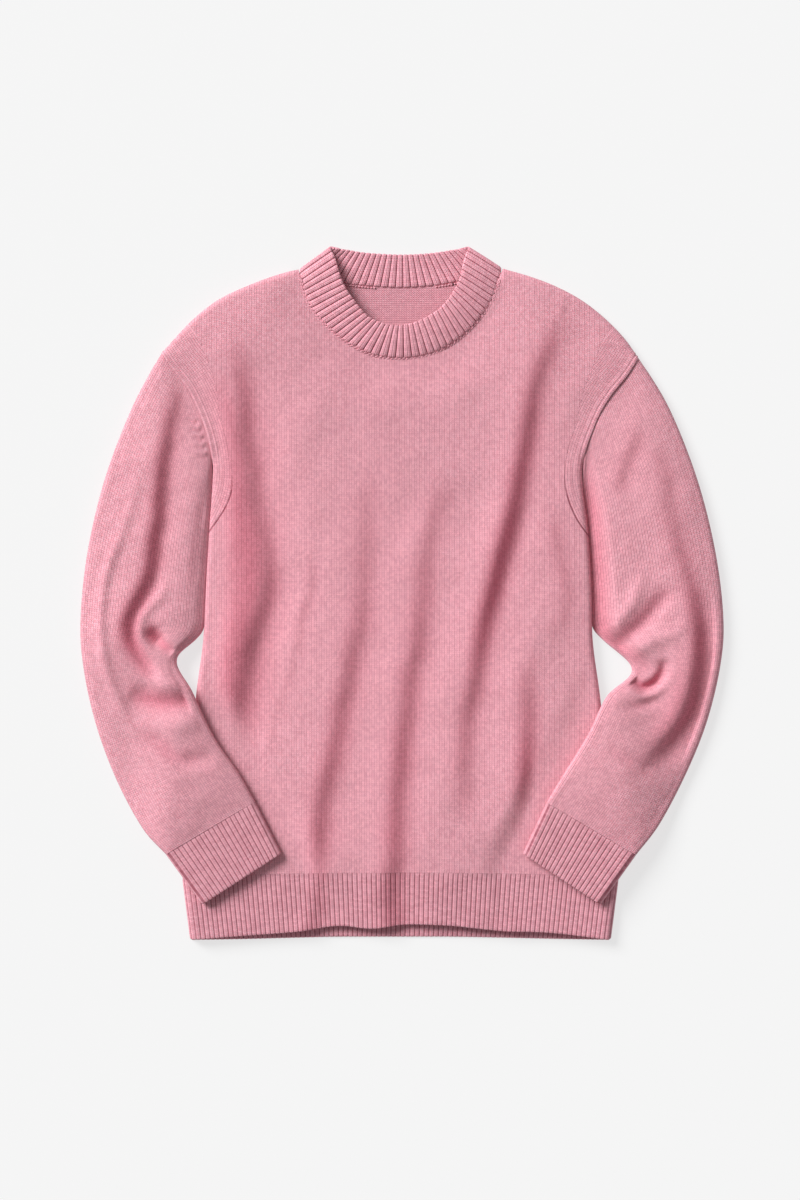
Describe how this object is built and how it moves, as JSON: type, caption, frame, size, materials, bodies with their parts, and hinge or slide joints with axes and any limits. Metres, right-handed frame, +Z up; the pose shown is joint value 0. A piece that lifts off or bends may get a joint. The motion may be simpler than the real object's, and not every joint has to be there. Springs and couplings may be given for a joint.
{
  "type": "knit sweater",
  "caption": "Crew-neck knit sweater laid flat on its back, long sleeves bent at the elbows and folded onto the front, with ribbed neckband, cuffs and hem.",
  "frame": {"origin": "on the floor under the middle of the sweater, centre of its bounding box in X and Y", "axes": "+Z up from the floor, +Y from the hem to the collar, +X to the right in the view from above (the wearer's left side)"},
  "size_m": [0.6442, 0.6934, 0.0293],
  "materials": {
    "knit": "soft plain knit with a light fuzz",
    "rib": "knitted rib, matt"
  },
  "bodies": {
    "root": {"front": "knit", "back": "knit", "hem_front": "rib", "hem_back": "rib", "sleeve_left": "knit", "sleeve_right": "knit", "cuff_left": "rib", "cuff_right": "rib", "neckband": "rib"}
  },
  "joints": []
}
